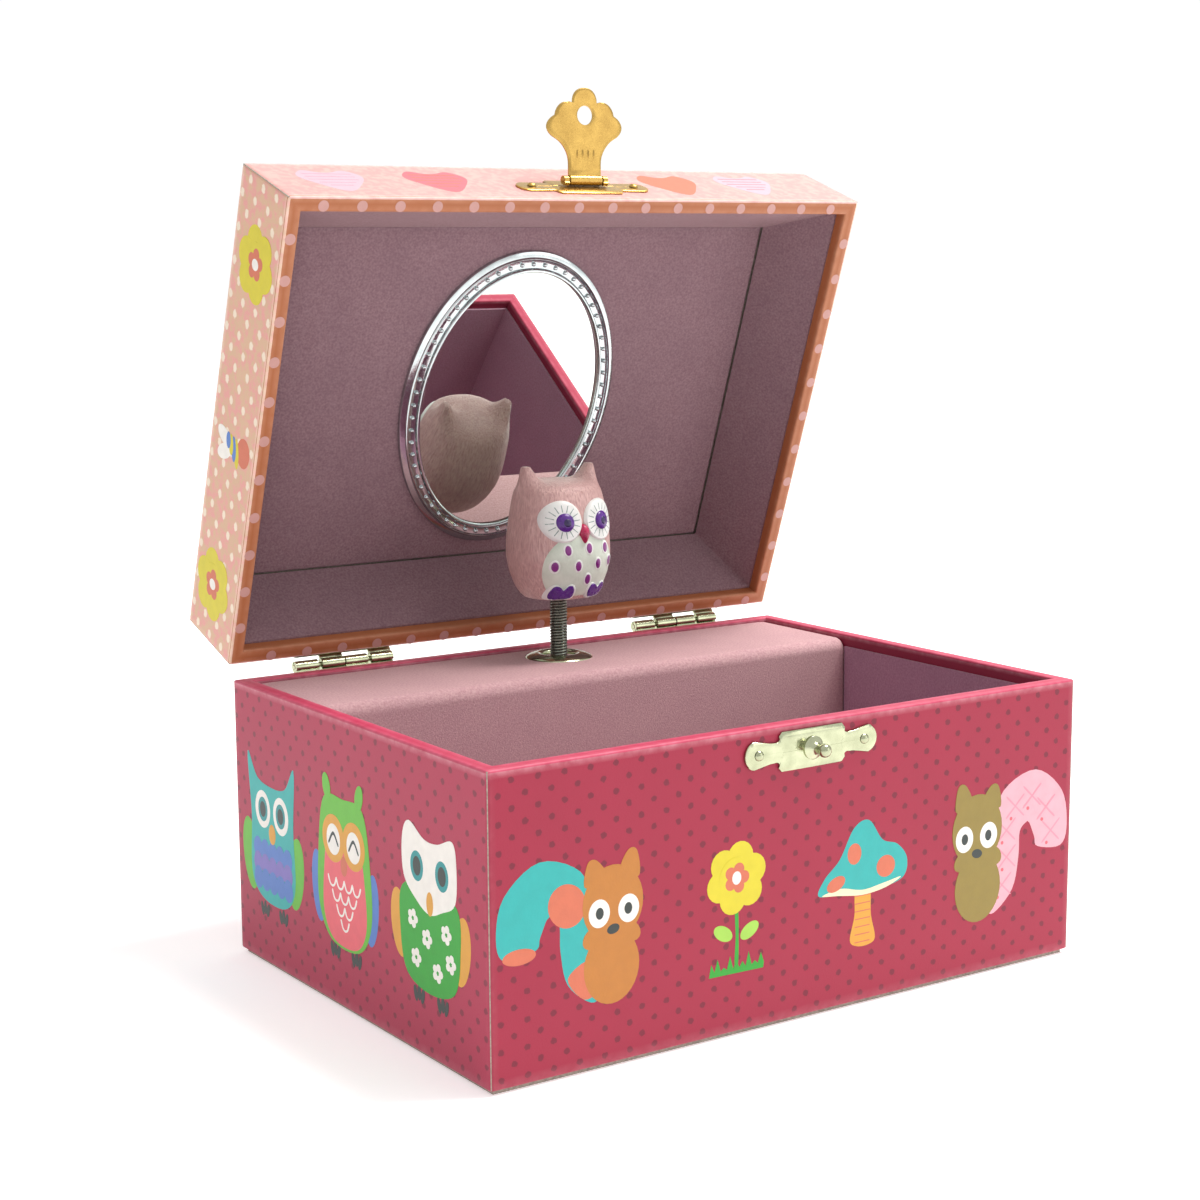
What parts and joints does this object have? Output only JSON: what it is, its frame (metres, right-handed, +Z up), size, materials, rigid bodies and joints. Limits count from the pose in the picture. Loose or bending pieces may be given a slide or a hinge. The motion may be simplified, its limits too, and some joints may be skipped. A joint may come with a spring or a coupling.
{
  "type": "musical jewellery box",
  "caption": "Paper-covered musical jewellery box standing open: a small owl turns on a spring over the movement, with an oval mirror in the lid and a hasp in front.",
  "frame": {"origin": "middle of the underside of the box, on the surface it stands on", "axes": "+X right along the front, front faces -Y, +Z up; rest pose is standing open"},
  "size_m": [0.155, 0.1405, 0.1965],
  "materials": {
    "grey_board": "rough pressed board",
    "base_paper": "printed paper, soft varnish",
    "lid_paper": "printed paper, soft varnish",
    "suede_lining": "flocked card",
    "nickel": "pale plated, polished",
    "gilt_brass": "stamped, polished",
    "movement_steel": "brushed",
    "movement_brass": "turned",
    "spring_steel": "drawn wire, oiled",
    "mirror_frame": "plated, polished",
    "mirror_glass": "silvered",
    "painted_resin": "cast and painted"
  },
  "bodies": {
    "base": {"bottom_sheet": "grey_board", "floor_board": "grey_board", "front_board": "grey_board", "back_board": "grey_board", "left_board": "grey_board", "right_board": "grey_board", "base_wrap": "base_paper", "lining_floor": "suede_lining", "lining_front": "suede_lining", "lining_sides": "suede_lining", "movement_cover": "suede_lining", "cover_eyelet": "nickel", "base_leaf_left": "nickel", "base_leaf_right": "nickel", "hinge_pins": "nickel", "base_hinge_nails": "nickel", "catch_plate": "nickel", "catch_stud": "nickel", "catch_nails": "nickel", "bedplate": "movement_steel", "movement_plates": "movement_steel", "governor_cock": "movement_steel", "comb_block": "movement_steel", "comb": "movement_steel", "movement_screws": "movement_steel", "mainspring_barrel": "movement_brass", "mainspring": "movement_steel", "spindle_bracket": "movement_steel", "key_escutcheon": "nickel"},
    "winding_key": {"winding_key": "nickel", "key_arbor": "movement_steel", "great_wheel": "movement_brass"},
    "cylinder": {"music_cylinder": "movement_brass", "cylinder_pins": "movement_brass", "cylinder_pinion": "movement_brass", "cylinder_wheel": "movement_brass", "crown_wheel": "movement_brass"},
    "second_wheel": {"second_wheel": "movement_brass"},
    "governor": {"governor_fly": "movement_brass"},
    "spindle": {"spindle": "movement_steel"},
    "spring_fold": {"figure_spring": "spring_steel"},
    "owl": {"owl_figure": "painted_resin", "spring_plug": "movement_steel"},
    "lid": {"lid_top_board": "grey_board", "lid_front_board": "grey_board", "lid_back_board": "grey_board", "lid_left_board": "grey_board", "lid_right_board": "grey_board", "lid_wrap": "lid_paper", "lid_panel_lining": "suede_lining", "lid_wall_lining": "suede_lining", "mirror_frame": "mirror_frame", "mirror_glass": "mirror_glass", "hasp_plate": "gilt_brass", "hasp_pin": "gilt_brass", "hasp_nails": "gilt_brass", "lid_leaf_left": "nickel", "lid_leaf_right": "nickel", "lid_hinge_nails": "nickel"},
    "hasp": {"hasp": "gilt_brass"}
  },
  "joints": [
    {"name": "lid_open", "type": "hinge", "parent": "base", "child": "lid", "pos_m": [0, 0.0576, 0.0646], "axis": [1, 0, 0], "range_deg": [0, 70.6]},
    {"name": "figure_fold", "type": "hinge", "parent": "base", "child": "spring_fold", "pos_m": [0.0015, 0.03455, 0.06225], "axis": [1, 0, 0], "range_deg": [0, 90], "deforming": ["figure_spring"]},
    {"name": "owl_spin", "type": "hinge", "parent": "spring_fold", "child": "owl", "pos_m": [0.0015, 0.0408, 0.078], "axis": [0, 0, 1], "continuous": true},
    {"name": "hasp_swing", "type": "hinge", "parent": "lid", "child": "hasp", "pos_m": [0.0008, 0.02725, 0.17578], "axis": [1, 0, 0], "range_deg": [-60, 109.4]},
    {"name": "key_turn", "type": "hinge", "parent": "base", "child": "winding_key", "pos_m": [0.0207, 0.0408, 0.024], "axis": [0, 1, 0], "continuous": true},
    {"name": "cylinder_turn", "type": "hinge", "parent": "base", "child": "cylinder", "pos_m": [0.0015, 0.0408, 0.024], "axis": [0, 1, 0], "continuous": true},
    {"name": "second_wheel_turn", "type": "hinge", "parent": "base", "child": "second_wheel", "pos_m": [-0.00614, 0.0408, 0.01636], "axis": [0, 1, 0], "continuous": true},
    {"name": "governor_turn", "type": "hinge", "parent": "base", "child": "governor", "pos_m": [-0.01694, 0.0408, 0.01636], "axis": [0, 1, 0], "continuous": true},
    {"name": "spindle_turn", "type": "hinge", "parent": "base", "child": "spindle", "pos_m": [0.0015, 0.0408, 0.03], "axis": [0, 0, 1], "continuous": true}
  ],
  "couplings": [
    {"joint": "figure_fold", "follows": "lid_open", "ratio": 1.2747},
    {"joint": "spindle_turn", "follows": "owl_spin", "ratio": 1},
    {"joint": "cylinder_turn", "follows": "owl_spin", "ratio": 0.5},
    {"joint": "key_turn", "follows": "owl_spin", "ratio": -0.125},
    {"joint": "second_wheel_turn", "follows": "owl_spin", "ratio": -1.5},
    {"joint": "governor_turn", "follows": "owl_spin", "ratio": 4.5}
  ]
}
